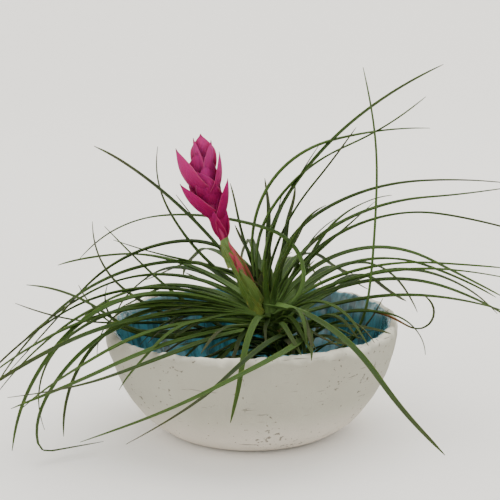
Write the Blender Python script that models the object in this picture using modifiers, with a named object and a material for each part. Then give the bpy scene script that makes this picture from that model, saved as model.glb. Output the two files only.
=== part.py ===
"""Tillandsia stricta in flower, leaning in a hand-built clay bowl.

Metres, +Z up, origin at the middle of the bowl's foot, on the surface it stands on.
The plant is one leafy stem, one flower stalk and one flower head. Nothing moves.
"""
import math
import random

import bpy
import bmesh
from mathutils import Vector

MM = 0.001
SEAM = 0.001 * MM

# Clearance in mm between two pieces that rest on each other
GAP = 0.3

# Bowl: half profile, (radius, height) in mm, up the inside and down the outside
BOWL_INSIDE = [(0, 7), (30, 7), (46, 9), (57, 15), (66, 25.5), (73, 40.5), (77, 61)]
BOWL_OUTSIDE = [(84, 59.5), (82.2, 50), (77.7, 35.3), (70.5, 21), (61, 8.8), (51, 2), (45, 0), (0, 0)]
BOWL_LIP = [(79, 65.4), (82.4, 65.4)]
RIM_HEIGHT = 66.0
BOWL_STEPS = 44

# Stem: it leans to the left, and the low edge of its foot stands on the bowl's floor
STEM_RADII = (5.2, 7.2, 8.5)
STEM_LEAN = math.radians(18.8)
STEM_FOOT = Vector((30, 0, BOWL_INSIDE[0][1] + GAP + STEM_RADII[0] * math.sin(STEM_LEAN)))
STEM_TIP = Vector((8, 0, 73.5))

# Leaves: width and thickness in mm at each share of the length
LEAF_WIDTHS = [(0.0, 7.8), (0.10, 6.4), (0.20, 5.2), (0.55, 3.7), (0.85, 2.1), (1.0, 0.8)]
LEAF_THICKNESS = [(0.0, 1.6), (0.2, 1.0), (1.0, 0.6)]
LEAF_FOLD = 0.34
LEAF_SEGMENTS = (5, 9)
BEND_PER_SEGMENT = 28.0
ROUTE_STEPS = 60
ROOT_SPREAD = 5.0
HEART_SETBACK = 6.0
RIM_CLEARANCE = 2.0
WALL_CLEARANCE = 2.6
LOWEST_TIP = 6.0
SEED = 41

# Each leaf: place up the stem (0 foot, 1 tip), azimuth and its turn along the leaf, length in mm,
# and the rise of the midrib above level at the root, a third, two thirds and the tip.
# Azimuth 0 points right and 90 away from the front.
HEART_LEAVES = [
    (1.00, 5, 0, 180, 98, 60, 39, 26),
    (1.00, 8, 0, 166, 114, 58, 22, 40),
    (1.00, 5, 0, 173, 116, 70, 13, -2),
    (0.98, 0, 0, 116, 88, 67, 51, 58),
    (0.98, 12, 0, 98, 92, 80, 60, 57),
    (0.98, 30, 0, 66, 92, 82, 75, 78),
    (1.00, 165, 0, 71, 66, 70, 77, 76),
    (1.00, 178, 0, 134, 49, 49, 41, 24),
    (0.97, 176, 0, 118, 27, 43, 61, 102),
    (1.00, 172, 0, 80, 46, 48, 50, 54),
    (0.97, 181, 0, 200, 78, -6, -48, -46),
    (0.94, 184, 0, 204, 54, -6, -42, -60),
    (0.95, 178, 0, 100, 66, 14, 13, 21),
]
RIGHT_LEAVES = [
    (0.97, 6, 0, 186, 98, 32, 2, -8),
    (0.95, 11, 0, 176, 78, 30, 1, 8),
    (0.94, 4, 0, 172, 70, 30, -7, -20),
    (0.92, 12, 0, 160, 60, 14, -28, -28),
    (0.90, 355, 0, 138, 45, 20, -1, -6),
    (0.88, 4, 0, 152, 38, 13, -4, -16),
    (0.86, 359, 0, 152, 34, 12, -18, -36),
    (0.90, 15, 0, 150, 46, 14, -21, -30),
    (0.82, 352, 0, 132, 22, 13, -2, -16),
    (0.74, 347, 0, 98, 26, 18, -10, -88),
    (0.68, 344, 0, 108, 14, 6, -30, 165),
    (0.35, 350, 0, 198, 14, 84, 90, 106),
    (0.90, 28, -20, 88, 76, 42, 38, 40),
    (0.84, 22, 0, 104, 46, 68, 38, 2),
    (0.40, 352, 0, 68, 20, 28, 52, 68),
]
LEFT_LEAVES = [
    (0.90, 340, 0, 200, 20, 166, 187, 230),
    (0.50, 178, 0, 126, 20, 34, 44, 50),
    (0.60, 184, 0, 138, 12, 20, 38, 95),
    (0.76, 198, 0, 147, 6, -4, 42, 8),
    (0.80, 190, 0, 144, 10, 0, 5, 26),
    (0.72, 197, 0, 124, 8, -2, 20, 70),
    (0.72, 188, 0, 114, 8, -2, 6, 116),
    (0.78, 187, 0, 116, 16, 6, -14, -95),
    (0.80, 224, 0, 118, 14, 4, -22, -50),
    (0.80, 222, 0, 176, 10, 0, -10, -12),
    (0.78, 244, -34, 190, 10, -3, -4, 4),
    (0.86, 210, 0, 178, 14, 3, -14, -28),
    (0.86, 204, 0, 183, 20, 5, -20, -35),
    (0.82, 215, 0, 163, 16, 2, -18, -32),
    (0.85, 205, 0, 198, 32, 5, -45, -85),
    (0.82, 202, 0, 162, 22, 7, -46, -92),
    (0.86, 208, 0, 226, 20, -6, -62, -188),
    (0.86, 200, 0, 176, 24, 5, -34, -110),
    (0.86, 190, 0, 188, 34, 5, -32, -50),
    (0.84, 195, 0, 182, 30, 6, -34, -55),
    (0.88, 170, 0, 165, 40, 4, -30, -44),
    (0.83, 160, 0, 150, 34, 2, -26, -60),
]
FRONT_LEAVES = [
    (0.66, 294, -124, 214, 22, 5, -16, -22),
    (0.66, 286, -92, 179, 26, 8, -24, -20),
    (0.84, 268, -20, 122, 16, -2, -36, -54),
    (0.98, 287, 20, 184, 14, -4, -22, -22),
    (0.70, 236, 10, 84, 24, 10, -6, -30),
    (0.60, 268, -20, 78, 34, 14, 2, -6),
    (0.56, 300, -10, 74, 34, 16, 4, 6),
    (0.72, 322, 10, 72, 28, 12, 6, -10),
]
BACK_LEAF_COUNT = 14
LOW_LEAF_COUNT = 12
INNER_LEAF_COUNT = 9
LEAF_SWAY = 16.0

# Flower stalk: its middle line in mm, from its seat on the stem's tip, and its sheathing bracts
STALK_BASE = Vector((3.0, -5.5, 71.8 + 2 * GAP))
STALK_ROUTE = [(0, 0, 0), (-4.0, 0.2, 9.5), (-10.5, 0.5, 20.5), (-16.0, 0.8, 31.0), (-19.2, 1.0, 41.5)]
STALK_RADII = (3.4, 3.2, 3.0, 2.8, 2.6)
STALK_BRACT_COUNT = 7
STALK_BRACT_PLACES = (0.12, 0.54)
STALK_BRACT_LENGTH = 24.0
STALK_BRACT_WIDTH = 8.4
STALK_BRACT_LEAN = (20, 1, 3)

# Flower head: its middle line in mm, from its seat on the stalk
HEAD_ROUTE = [(0, 0, 0), (-5.3, 0.3, 14.0), (-9.4, 0.6, 26.0), (-10.2, 0.8, 35.0)]
HEAD_RADII = (2.6, 4.8, 4.8, 3.0)
# Each bract of the head: place up the middle line (0 foot, 1 tip), azimuth, length and width in mm,
# and how far it stands off the middle line at the root, half way and the tip, in degrees.
HEAD_BRACTS = [
    (0.00, 262, 27, 11, 12, 5, 4),
    (0.02, 84, 27, 11, 12, 6, 6),
    (0.04, 194, 28, 13, 28, 12, 4),
    (0.08, 350, 26, 12, 18, 10, 10),
    (0.22, 340, 29, 13, 54, 30, 18),
    (0.30, 210, 32, 16, 56, 24, 4),
    (0.28, 110, 28, 15, 42, 18, 12),
    (0.32, 266, 29, 17, 36, 8, 0),
    (0.36, 40, 27, 15, 44, 20, 14),
    (0.46, 250, 28, 17, 38, 14, 10),
    (0.50, 304, 27, 16, 40, 14, 6),
    (0.54, 140, 28, 15, 40, 16, 10),
    (0.66, 212, 36, 17, 60, 12, -10),
    (0.60, 352, 30, 13, 66, 26, 4),
    (0.64, 78, 27, 15, 38, 14, 8),
    (0.72, 272, 25, 17, 32, 10, 8),
    (0.84, 198, 28, 14, 36, 4, -6),
    (0.82, 338, 27, 13, 40, 14, 0),
    (0.88, 96, 24, 13, 24, 6, 0),
    (0.94, 262, 25, 15, 14, 2, -4),
]

# Bracts: width at each share of the length, as a share of the greatest width
BRACT_OUTLINE = [(0.0, 0.36), (0.25, 0.92), (0.50, 1.0), (0.78, 0.64), (1.0, 0.08)]
BRACT_THICKNESS = (0.9, 0.6)
BRACT_FOLD = 0.45
GOLDEN_ANGLE = math.radians(137.5)


def mix(table, share):
    """The value at a share of the way along a list of (share, value) steps."""
    for (s0, v0), (s1, v1) in zip(table, table[1:]):
        if share <= s1:
            return v0 + (v1 - v0) * (share - s0) / (s1 - s0)
    return table[-1][1]


def smooth(low, high, x):
    """0 below low, 1 above high and an even ramp between."""
    k = min(max((x - low) / (high - low), 0.0), 1.0)
    return k * k * (3 - 2 * k)


def add_material(obj, name, colour, roughness):
    material = bpy.data.materials.new(name)
    material.use_nodes = True
    shader = material.node_tree.nodes["Principled BSDF"]
    shader.inputs["Base Color"].default_value = (*colour, 1.0)
    shader.inputs["Roughness"].default_value = roughness
    shader.inputs["Metallic"].default_value = 0.0
    obj.data.materials.clear()
    obj.data.materials.append(material)


def add_object(name, mesh, collection):
    obj = bpy.data.objects.new(name, mesh)
    collection.objects.link(obj)
    return obj


def made_mesh(obj, name):
    """The object's evaluated shape as a plain mesh with its seams merged."""
    depsgraph = bpy.context.evaluated_depsgraph_get()
    depsgraph.update()
    mesh = bpy.data.meshes.new_from_object(obj.evaluated_get(depsgraph))
    mesh.name = name
    bm = bmesh.new()
    bm.from_mesh(mesh)
    bmesh.ops.remove_doubles(bm, verts=bm.verts, dist=SEAM)
    bmesh.ops.triangulate(bm, faces=bm.faces)
    bm.to_mesh(mesh)
    bm.free()
    return mesh


def drop_scraps(mesh):
    """Keep a mesh's largest body: a loose scrap goes, and a hollow that fusing sealed is filled."""
    bm = bmesh.new()
    bm.from_mesh(mesh)
    unseen = set(bm.faces)
    bodies = []
    while unseen:
        body = {unseen.pop()}
        border = list(body)
        while border:
            near = {face for edge in border.pop().edges for face in edge.link_faces} & unseen
            unseen -= near
            body |= near
            border.extend(near)
        bodies.append(body)
    largest = max(bodies, key=len)
    bmesh.ops.delete(bm, geom=[face for face in bm.faces if face not in largest], context="FACES")
    bm.to_mesh(mesh)
    bm.free()


# The bowl

def rim_wave(angle):
    """How far the hand-formed rim stands above its mean height at an angle, in mm."""
    low_side = ((1 + math.cos(angle - math.radians(200))) / 2) ** 3
    return (0.6 * math.sin(2 * angle + 0.5) + 0.45 * math.sin(5 * angle + 1.1)
            + 0.5 * math.sin(3 * angle) - 4.0 * low_side)


def out_of_round(angle):
    """The bowl's radius at an angle as a share of its mean radius."""
    return 1 + 0.007 * math.sin(2 * angle + 0.9) + 0.004 * math.sin(3 * angle + 2.0)


def hand_formed(x, y, z):
    """A point of the turned bowl, in mm, moved to where the hand-built one has it."""
    angle = math.atan2(y, x)
    share = min(max(z / RIM_HEIGHT, 0.0), 1.0)
    round_share = smooth(0.0, 0.5, share)
    scale = 1 + (out_of_round(angle) - 1) * round_share
    return x * scale, y * scale, z + rim_wave(angle) * share ** 3


def inside_height(radius, angle):
    """The height of the bowl's upper surface at a radius and angle, in mm."""
    radius = radius / out_of_round(angle)
    steps = BOWL_INSIDE + BOWL_LIP + [BOWL_OUTSIDE[0]]
    for (r0, z0), (r1, z1) in zip(steps, steps[1:]):
        if radius <= r1:
            height = z0 + (z1 - z0) * (radius - r0) / (r1 - r0)
            return height + rim_wave(angle) * (height / RIM_HEIGHT) ** 3
    return 0.0


def outside_radius(height, angle):
    """The radius of the bowl's outer wall at a height and angle, in mm."""
    steps = sorted((z, r) for r, z in BOWL_OUTSIDE[:-1])
    height = min(max(height, 0.0), steps[-1][0])
    for (z0, r0), (z1, r1) in zip(steps, steps[1:]):
        if height <= z1:
            return (r0 + (r1 - r0) * (height - z0) / (z1 - z0)) * out_of_round(angle)
    return steps[-1][1] * out_of_round(angle)


def add_bowl(collection):
    profile = [Vector((r, 0, z)) * MM for r, z in BOWL_INSIDE + BOWL_LIP + BOWL_OUTSIDE]
    mesh = bpy.data.meshes.new("bowl profile")
    mesh.from_pydata(profile, [(i, i + 1) for i in range(len(profile) - 1)], [])
    turned = add_object("bowl profile", mesh, collection)
    screw = turned.modifiers.new("turn", "SCREW")
    screw.steps = BOWL_STEPS
    screw.render_steps = BOWL_STEPS
    screw.use_merge_vertices = True
    screw.merge_threshold = 0.01 * MM
    body = made_mesh(turned, "bowl")
    bpy.data.objects.remove(turned)
    for vertex in body.vertices:
        vertex.co = Vector(hand_formed(*(vertex.co / MM))) * MM
    body.shade_smooth()
    body.set_sharp_from_angle(angle=math.radians(50))
    bowl = add_object("bowl", body, collection)
    add_material(bowl, "unglazed stoneware", (0.62, 0.58, 0.51), 0.85)


# Blades: leaves and bracts

def blade_mesh(name, points, sides, widths, thicknesses, fold, across):
    """A closed blade along points, channelled towards its upper side.

    sides holds the vector across the blade at each point, fold the rise of each edge as a share
    of the half width, and across the number of strips that the width is divided into.
    """
    marks = [2 * k / across - 1 for k in range(across + 1)]
    ring = [(u, -1) for u in marks] + [(u, 1) for u in reversed(marks[1:-1])]
    bm = bmesh.new()
    rings = []
    for i, point in enumerate(points):
        ahead = points[min(i + 1, len(points) - 1)] - points[max(i - 1, 0)]
        side = sides[i].normalized()
        upper = ahead.normalized().cross(side).normalized()
        verts = []
        for u, face in ring:
            body = (1 - abs(u) ** 3) * thicknesses[i] / 2 * face
            rise = fold * abs(u) ** 1.4 * widths[i] / 2 + body
            verts.append(bm.verts.new((point + side * (u * widths[i] / 2) + upper * rise) * MM))
        rings.append(verts)
    count = len(ring)
    for low, high in zip(rings, rings[1:]):
        for j in range(count):
            a, b = low[j], low[(j + 1) % count]
            d, c = high[j], high[(j + 1) % count]
            if j < across:
                bm.faces.new((a, b, c))
                bm.faces.new((a, c, d))
            else:
                bm.faces.new((a, b, d))
                bm.faces.new((b, c, d))
    bm.faces.new(list(reversed(rings[0])))
    bm.faces.new(rings[-1])
    bmesh.ops.triangulate(bm, faces=[f for f in bm.faces if len(f.verts) > 4])
    mesh = bpy.data.meshes.new(name)
    bm.to_mesh(mesh)
    bm.free()
    return mesh


def tube_mesh(name, points, radii, sides):
    """A round tube along points, closed at both ends."""
    curve = bpy.data.curves.new(name, "CURVE")
    curve.dimensions = "3D"
    curve.bevel_depth = 1 * MM
    curve.bevel_resolution = sides // 2 - 2
    curve.use_fill_caps = True
    spline = curve.splines.new("POLY")
    spline.points.add(len(points) - 1)
    for slot, point, radius in zip(spline.points, points, radii):
        slot.co = (*(point * MM), 1)
        slot.radius = radius
    obj = bpy.data.objects.new(name, curve)
    bpy.context.scene.collection.objects.link(obj)
    mesh = made_mesh(obj, name)
    bpy.data.objects.remove(obj)
    return mesh


def fused(name, core_mesh, blade_meshes, collection):
    """One body made of a core and the blades that are rooted in it."""
    blades = bpy.data.collections.new(name + " blades")
    bpy.context.scene.collection.children.link(blades)
    for mesh in blade_meshes:
        add_object(mesh.name, mesh, blades)
    core = add_object(name + " core", core_mesh, bpy.context.scene.collection)
    union = core.modifiers.new("join", "BOOLEAN")
    union.operation = "UNION"
    union.operand_type = "COLLECTION"
    union.collection = blades
    union.solver = "EXACT"
    mesh = made_mesh(core, name)
    drop_scraps(mesh)
    for obj in [core, *blades.objects]:
        bpy.data.objects.remove(obj)
    bpy.data.collections.remove(blades)
    return add_object(name, mesh, collection)


# The leafy stem

def leaf_route(row, in_heart):
    """The midrib of a leaf and the vector across it at each point, in mm."""
    place, azimuth, turn, length, *rises = row
    start = STEM_FOOT.lerp(STEM_TIP, place)
    around = math.radians(azimuth)
    if in_heart:
        start = start + Vector((0, HEART_SETBACK, 0))
    else:
        start = start + ROOT_SPREAD * Vector((math.cos(around), math.sin(around), 0))
    steps = ROUTE_STEPS
    points, sides = [start], [Vector((-math.sin(around), math.cos(around), 0))]
    for i in range(steps):
        share = (i + 0.5) / steps
        k = min(int(share * 3), 2)
        part = share * 3 - k
        rise = math.radians(rises[k] * (1 - part) + rises[k + 1] * part)
        heading = math.radians(azimuth + turn * share)
        ahead = Vector((math.cos(rise) * math.cos(heading), math.cos(rise) * math.sin(heading), math.sin(rise)))
        points.append(points[-1] + ahead * length / steps)
        sides.append(Vector((-math.sin(heading), math.cos(heading), 0)))
    return points, sides


def clear_of_bowl(points):
    """The midrib lifted to lie over the rim, and kept off the outer wall and the surface."""
    lift = 0.0
    for p in points:
        angle = math.atan2(p.y, p.x)
        reach = math.hypot(p.x, p.y)
        if reach < BOWL_OUTSIDE[0][0]:
            near = max(inside_height(reach + d, angle) for d in (-2, 0, 2))
            lift = max(lift, (near + RIM_CLEARANCE - p.z) / max(smooth(5, 70, reach), 0.2))
    raised = []
    for p in points:
        angle = math.atan2(p.y, p.x)
        reach = math.hypot(p.x, p.y)
        p = p + Vector((0, 0, lift * smooth(5, 70, reach)))
        wall = outside_radius(p.z, angle) + WALL_CLEARANCE
        if BOWL_INSIDE[-1][0] < reach < wall and p.z < RIM_HEIGHT - 6 + rim_wave(angle):
            p = Vector((p.x * wall / reach, p.y * wall / reach, p.z))
        p.z = max(p.z, LOWEST_TIP)
        raised.append(p)
    return raised


def swayed(row, draw):
    """A leaf's row with a slight turn added, which leaves its mean direction as it was."""
    turn = draw.uniform(-LEAF_SWAY, LEAF_SWAY)
    place, azimuth, sweep, *rest = row
    return (place, azimuth - turn / 2, sweep + turn, *rest)


def leaf_mesh(name, row, in_heart):
    points, sides = leaf_route(row, in_heart)
    points = clear_of_bowl(points)
    bend = sum(abs(b - a) for a, b in zip(row[4:], row[5:]))
    segments = int(min(max(LEAF_SEGMENTS[0] + bend / BEND_PER_SEGMENT, LEAF_SEGMENTS[0]), LEAF_SEGMENTS[1]))
    shares = [i / segments for i in range(segments + 1)]
    chosen = [round(share * ROUTE_STEPS) for share in shares]
    size = smooth(30, 150, row[3]) * 0.35 + 0.65
    widths = [mix(LEAF_WIDTHS, s) * size if s < 1 else LEAF_WIDTHS[-1][1] for s in shares]
    thicknesses = [mix(LEAF_THICKNESS, s) for s in shares]
    return blade_mesh(name, [points[i] for i in chosen], [sides[i] for i in chosen],
                      widths, thicknesses, LEAF_FOLD, 2)


def back_leaves(draw):
    """Low arching leaves that fan out behind the stem."""
    rows = []
    for i in range(BACK_LEAF_COUNT):
        azimuth = 28 + 126 * i / (BACK_LEAF_COUNT - 1) + draw.uniform(-5, 5)
        rows.append((draw.uniform(0.70, 0.92), azimuth, draw.uniform(-14, 14), draw.uniform(112, 165),
                     draw.uniform(24, 46), draw.uniform(6, 22), draw.uniform(-34, -8), draw.uniform(-66, -14)))
    return rows


def low_leaves(draw):
    """Short old leaves low on the stem, inside the bowl, which clasp it and then spread."""
    rows = []
    for i in range(LOW_LEAF_COUNT):
        azimuth = math.degrees(i * GOLDEN_ANGLE) % 360 + draw.uniform(-10, 10)
        reach = 1 - 0.4 * max(math.cos(math.radians(azimuth)), 0)
        place = 0.08 + 0.5 * i / (LOW_LEAF_COUNT - 1)
        rows.append((place, azimuth, draw.uniform(-24, 24), draw.uniform(62, 92) * reach,
                     draw.uniform(66, 82), draw.uniform(34, 52), draw.uniform(0, 26), draw.uniform(-30, 40)))
    return rows


def inner_leaves(draw):
    """Young leaves that stand up around the stem's tip, on the sides away from the flower stalk."""
    rows = []
    for i in range(INNER_LEAF_COUNT):
        azimuth = -100 + 230 * i / (INNER_LEAF_COUNT - 1) + draw.uniform(-8, 8)
        rows.append((draw.uniform(0.84, 1.0), azimuth, draw.uniform(-10, 10), draw.uniform(46, 84),
                     draw.uniform(70, 82), draw.uniform(54, 70), draw.uniform(38, 60), draw.uniform(16, 60)))
    return rows


def add_leafy_stem(collection):
    draw = random.Random(SEED)
    sway = random.Random(SEED + 3)
    groups = [("heart leaf", HEART_LEAVES), ("right leaf", RIGHT_LEAVES), ("left leaf", LEFT_LEAVES),
              ("front leaf", FRONT_LEAVES), ("back leaf", back_leaves(draw)), ("low leaf", low_leaves(draw)),
              ("inner leaf", inner_leaves(draw))]
    leaves = []
    for group, rows in groups:
        for i, row in enumerate(rows):
            leaves.append(leaf_mesh(f"{group} {i}", swayed(row, sway), group == "heart leaf"))
    middle = STEM_FOOT.lerp(STEM_TIP, 0.5)
    core = tube_mesh("stem core", [STEM_FOOT, middle, STEM_TIP], STEM_RADII, 8)
    stem = fused("leafy_stem", core, leaves, collection)
    add_material(stem, "green leaf", (0.16, 0.22, 0.07), 0.55)


# The flower stalk and the flower head

def along(route, share):
    """The point at a share of the way along a route, and the route's direction there."""
    k, part = divmod(min(share, 0.999) * (len(route) - 1), 1)
    low, high = route[int(k)], route[int(k) + 1]
    return low.lerp(high, part), (high - low).normalized()


def bract_mesh(name, route, row):
    """A pointed bract that stands off its stalk's middle line by the angles in its row."""
    share, azimuth, length, width, *leans = row
    base, axis = along(route, share)
    around = math.radians(azimuth)
    compass = Vector((math.cos(around), math.sin(around), 0))
    side = axis.cross(compass).normalized()
    outward = side.cross(axis)
    points = [base]
    for (s0, _), (s1, _) in zip(BRACT_OUTLINE, BRACT_OUTLINE[1:]):
        tilt = math.radians(mix([(0, leans[0]), (0.5, leans[1]), (1, leans[2])], (s0 + s1) / 2))
        points.append(points[-1] + (axis * math.cos(tilt) + outward * math.sin(tilt)) * (s1 - s0) * length)
    thick, thin = BRACT_THICKNESS
    thicknesses = [thick + (thin - thick) * s for s, _ in BRACT_OUTLINE]
    widths = [w * width for _, w in BRACT_OUTLINE]
    return blade_mesh(name, points, [side] * len(points), widths, thicknesses, BRACT_FOLD, 2)


def add_flower_stalk(collection):
    draw = random.Random(SEED + 1)
    route = [STALK_BASE + Vector(step) for step in STALK_ROUTE]
    low, high = STALK_BRACT_PLACES
    bracts = []
    for i in range(STALK_BRACT_COUNT):
        share = low + (high - low) * i / (STALK_BRACT_COUNT - 1)
        azimuth = math.degrees(i * GOLDEN_ANGLE) + draw.uniform(-10, 10)
        length = STALK_BRACT_LENGTH * (1 - 0.35 * share)
        bracts.append(bract_mesh(f"stalk bract {i}", route,
                                 (share, azimuth, length, STALK_BRACT_WIDTH, *STALK_BRACT_LEAN)))
    core = tube_mesh("stalk core", route, STALK_RADII, 8)
    stalk = fused("flower_stalk", core, bracts, collection)
    add_material(stalk, "reddish green bract", (0.42, 0.16, 0.13), 0.5)


def add_flower_head(collection):
    base = STALK_BASE + Vector(STALK_ROUTE[-1]) + Vector((0, 0, 2 * GAP))
    route = [base + Vector(step) for step in HEAD_ROUTE]
    bracts = [bract_mesh(f"head bract {i}", route, row) for i, row in enumerate(HEAD_BRACTS)]
    core = tube_mesh("head core", route, HEAD_RADII, 8)
    head = fused("flower_head", core, bracts, collection)
    add_material(head, "pink bract", (0.62, 0.09, 0.22), 0.45)


def build():
    for obj in list(bpy.data.objects):
        bpy.data.objects.remove(obj)
    collection = bpy.data.collections.new("tillandsia stricta")
    bpy.context.scene.collection.children.link(collection)
    add_bowl(collection)
    add_leafy_stem(collection)
    add_flower_stalk(collection)
    add_flower_head(collection)


build()
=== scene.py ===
"""Tillandsia stricta in flower, leaning in a hand-built clay bowl that is glazed blue inside.

Laid out as an add-on and run as a script. Each operator makes one piece, or one group of like
pieces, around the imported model. The tables are in millimetres and the frame is in metres.
"""
import random
from functools import partial
from math import atan2, cos, hypot, pi, radians, sin, sqrt, tau

import bmesh
import bpy
from bpy.props import FloatProperty, IntProperty, PointerProperty, StringProperty
from bpy.types import NodeSocket, Operator, Panel, PropertyGroup, Scene
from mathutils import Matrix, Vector, noise


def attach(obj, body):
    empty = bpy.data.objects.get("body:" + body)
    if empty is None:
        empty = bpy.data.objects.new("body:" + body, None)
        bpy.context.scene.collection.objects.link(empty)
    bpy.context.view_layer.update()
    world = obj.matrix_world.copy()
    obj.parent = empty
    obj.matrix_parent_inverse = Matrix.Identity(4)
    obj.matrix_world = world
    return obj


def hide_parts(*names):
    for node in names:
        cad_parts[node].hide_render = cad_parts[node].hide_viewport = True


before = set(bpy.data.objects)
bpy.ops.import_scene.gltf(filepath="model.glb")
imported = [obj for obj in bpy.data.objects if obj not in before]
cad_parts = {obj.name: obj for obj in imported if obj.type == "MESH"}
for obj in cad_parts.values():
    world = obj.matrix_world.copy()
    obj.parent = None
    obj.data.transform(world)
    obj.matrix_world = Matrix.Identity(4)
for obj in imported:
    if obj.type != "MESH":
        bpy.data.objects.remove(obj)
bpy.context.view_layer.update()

bl_info = {
    "name": "Tillandsia in a Clay Bowl",
    "version": (1, 0, 0),
    "blender": (4, 5, 0),
    "location": "3D View > Sidebar > Tillandsia",
    "description": "Builds an air plant in flower and the clay bowl that holds it",
    "category": "Add Mesh",
}

MM = 0.001
UP = Vector((0, 0, 1))
BODY = "root"

# Bowl: half profile, (radius, height) in mm, from the middle of the floor over the lip to the foot
BOWL_INSIDE = [(0, 7), (30, 7), (46, 9), (57, 15), (66, 25.5), (73, 40.5), (77, 61)]
BOWL_LIP = [(79, 65.4), (82.4, 65.4)]
BOWL_OUTSIDE = [(84, 59.5), (82.2, 50), (77.7, 35.3), (70.5, 21), (61, 8.8), (51, 2), (45, 0), (0, 0)]
RIM_HEIGHT = 66.0
CORNER_CUTS = 4
INSIDE_STEPS = 60
OUTSIDE_STEPS = 84
ROUND_STEPS = 512
AROUND = [tau * j / ROUND_STEPS for j in range(ROUND_STEPS)]
POLE_RADIUS = 0.01

# Waves round the hand-built bowl, in its rim in mm and in its radius as a share: each one's size,
# how many go round and where it starts. The rim also dips on one side.
RIM_WAVES = [(0.6, 2, 0.5), (0.45, 5, 1.1), (0.5, 3, 0.0)]
RADIUS_WAVES = [(0.007, 2, 0.9), (0.004, 3, 2.0)]
RIM_DIP = 4
RIM_DIP_ANGLE = radians(200)

# Marks of the hand in the clay, as layers of noise: height and size in mm, and a shift
FINGER_MARKS = [(0.8, 21, (0, 0, 0)), (0.24, 5.5, (7, 3, 1))]
LIP_LUMPS = [(0.42, 3.1, (2, 5, 9)), (0.2, 1.5, (0, 0, 0))]
LIP_WANDER = [(0.9, 9, (1, 8, 5)), (0.5, 3.4, (0, 0, 0))]
LIP_NICKS = [(1.5, 2.6, (4, 9, 2))]
SHALLOW_NICK = 0.27
# Heights in mm where the marks fade in over the foot and by the lip, and for the waves as a share
FOOT_FADE, LIP_FADE, WAVE_FADE = (1, 9), (59, 65.5), (0, 0.5)
GRIT_START = 5

# Glaze: its thickness and how far it sinks into the clay, in mm, and the length of its run-out edge
GLAZE_THICKNESS = 0.35
GLAZE_BITE = 0.25
GLAZE_EDGE = 1.6
# The bare margin above it in mm, its least width, and how it wanders round a circle of this radius
GLAZE_MARGIN = 1.5
LEAST_MARGIN = 0.4
GLAZE_WANDER = [(1.5, 4, (0, 0, 0)), (1.1, 1, (5, 1, 3))]
WANDER_RADIUS = 9
GLAZE_STEPS = 60
GLAZE_CROWDING = 1.6
FINE_STEPS = 600

# Stem: its middle line and its widths along it, in mm
STEM_LEAN = radians(18.8)
STEM_FOOT = Vector((30, 0, 7.3 + 5.2 * sin(STEM_LEAN)))
STEM_TIP = Vector((8, 0, 73.5))
STEM_STEPS = 24
STEM_ROUTE = [STEM_FOOT.lerp(STEM_TIP, i / STEM_STEPS) for i in range(STEM_STEPS + 1)]
STEM_WIDTHS = [(0, 9.2), (0.5, 10.8), (0.85, 10.0), (1, 4.8)]

# Leaf bases that clasp the stem: how many, the place of the first, how far up the last one is and
# the lean of their roots in degrees. Then the ranges of length, width, and lean half way and at the tip.
GREEN_SHEATHS = (36, 0.34, 0.64, 26, (18, 30), (10, 13), (4, 12), (10, 36))
DRY_SHEATHS = (22, 0.02, 0.48, 32, (15, 22), (9, 12), (8, 16), (14, 34))
GOLDEN_ANGLE = 137.5

# Leaves: width, thickness and channel along the length. The first two are in mm, and the channel is
# the rise of the edges as a share of the half width.
LEAF_TABLES = (
    [(0, 9.4), (0.04, 8.2), (0.10, 6.6), (0.20, 5.5), (0.40, 4.5), (0.55, 3.9), (0.85, 2.6), (0.95, 1.7),
     (1, 0.4)],
    [(0, 0.9), (0.1, 0.9), (0.3, 0.8), (0.7, 0.6), (1, 0.3)],
    [(0, 0.55), (0.15, 0.5), (0.5, 0.6), (1, 0.4)],
)
LEAF_RINGS = 42
LEAF_EASING = 6
ROUTE_STEPS = 60
ROOT_SPREAD = 5
HEART_SETBACK = 6
RIM_CLEARANCE = 2
WALL_CLEARANCE = 2.6
LOWEST_TIP = 6
RIM_PROBES = (-2, 0, 2)
RIM_ROUNDING = 6
# A leaf is lifted over the rim from this far out to this far, and by at least this share of the whole
LIFT_START, LIFT_FULL, LEAST_LIFT = 5, 70, 0.2
# Its waver: how often, how far in mm on a leaf of a known length, and its twist in radians at the tip
WAVER_BEATS = (1.3, 2.6)
WAVER_WIDTHS = (0.3, 1.1)
WAVER_LENGTH = 120
TWIST = 0.7
# How much narrower a short leaf is, between these lengths, and how much each differs from the next
NARROWING = 0.35
SHORT_LEAF, LONG_LEAF = 30, 150
SIZE_RANGE = (0.92, 1.06)
SEED = 41

# Each leaf: place up the stem (0 foot, 1 tip), azimuth and its turn along the leaf, length in mm,
# and the rise of the midrib above level at the root, a third, two thirds and the tip.
# Azimuth 0 points right and 90 away from the front.
HEART_LEAVES = [
    (1.00, 5, 0, 180, 98, 60, 39, 26),
    (1.00, 8, 0, 166, 114, 58, 22, 40),
    (1.00, 5, 0, 173, 116, 70, 13, -2),
    (0.98, 0, 0, 116, 88, 67, 51, 58),
    (0.98, 12, 0, 98, 92, 80, 60, 57),
    (0.98, 30, 0, 66, 92, 82, 75, 78),
    (1.00, 165, 0, 71, 66, 70, 77, 76),
    (1.00, 178, 0, 134, 49, 49, 41, 24),
    (0.97, 176, 0, 118, 27, 43, 61, 102),
    (1.00, 172, 0, 80, 46, 48, 50, 54),
    (0.97, 181, 0, 200, 78, -6, -48, -46),
    (0.94, 184, 0, 204, 54, -6, -42, -60),
    (0.95, 178, 0, 100, 66, 14, 13, 21),
]
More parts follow.
